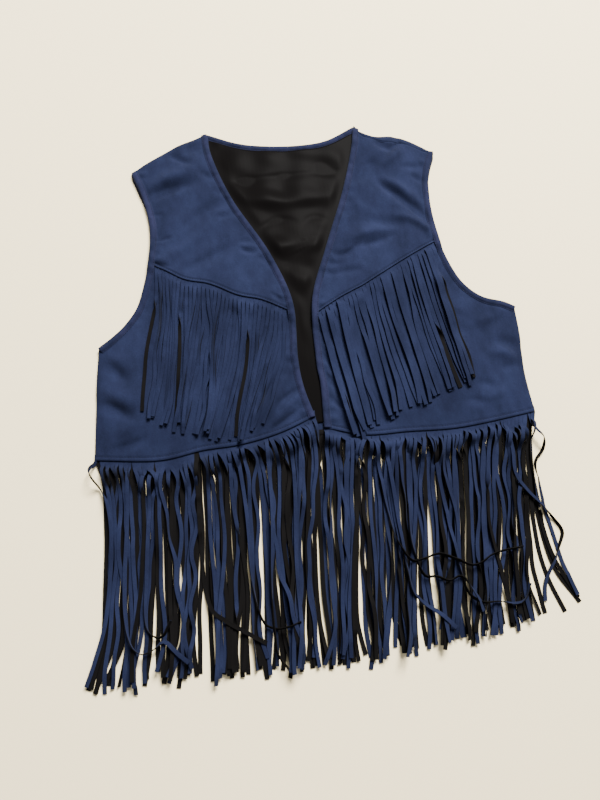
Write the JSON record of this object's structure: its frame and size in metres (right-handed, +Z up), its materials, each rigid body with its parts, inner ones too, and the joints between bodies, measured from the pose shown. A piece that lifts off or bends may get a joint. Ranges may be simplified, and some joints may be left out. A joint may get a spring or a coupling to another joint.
{
  "type": "fringed western vest",
  "caption": "Open-front navy microsuede western vest with bound edges, black satin back lining, fringe under the front yokes and a long hem fringe, laid flat and face up.",
  "frame": {"origin": "on the back panel's flat underside, on the centre back line, level with the armpits", "axes": "+Z up off the table through the front, +Y from the hem to the neck along the centre back, +X to the right as seen from above"},
  "size_m": [0.5162, 0.636, 0.0125],
  "materials": {
    "suede": "brushed matte microsuede, navy",
    "binding": "folded and stitched microsuede, navy",
    "lining": "black satin with a low sheen",
    "fringe": "slit microsuede, navy face and black reverse"
  },
  "bodies": {
    "root": {"back_panel": "suede", "back_lining": "lining", "front_left": "suede", "front_right": "suede", "yoke_left": "suede", "yoke_right": "suede", "chest_fringe_left": "fringe", "chest_fringe_right": "fringe", "hem_fringe_front_left": "fringe", "hem_fringe_front_right": "fringe", "hem_fringe_back": "fringe", "binding_neck": "binding", "binding_front_left": "binding", "binding_front_right": "binding", "binding_armhole_front_left": "binding", "binding_armhole_front_right": "binding", "binding_armhole_back_left": "binding", "binding_armhole_back_right": "binding"}
  },
  "joints": []
}
